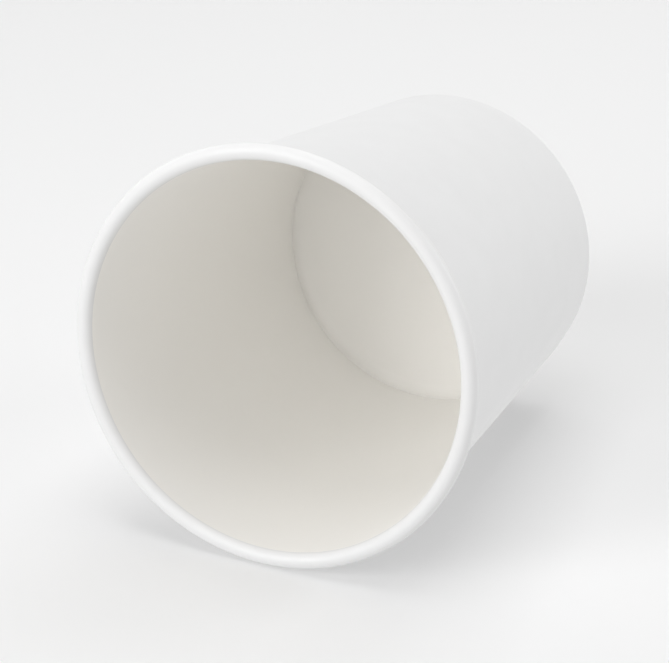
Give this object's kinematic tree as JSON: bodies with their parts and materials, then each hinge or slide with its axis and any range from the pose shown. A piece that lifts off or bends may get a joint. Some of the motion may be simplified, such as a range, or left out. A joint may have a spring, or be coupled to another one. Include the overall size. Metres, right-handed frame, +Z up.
{
  "type": "paper soup container",
  "caption": "Tapered round tub of white coated board with a rolled rim, a side lap seam and a recessed flat bottom, for hot soup to take away.",
  "frame": {"origin": "centre of the ring that the container stands on, on the ground", "axes": "+Z up along the container's axis, out of its mouth; the inner flap's cut edge of the side lap lies 190 degrees round from +X about +Z"},
  "size_m": [0.098, 0.098, 0.104],
  "materials": {
    "wall_board": "matte",
    "disc_board": "satin"
  },
  "bodies": {
    "root": {"side_wall": "wall_board", "bottom_disc": "disc_board"}
  },
  "joints": []
}
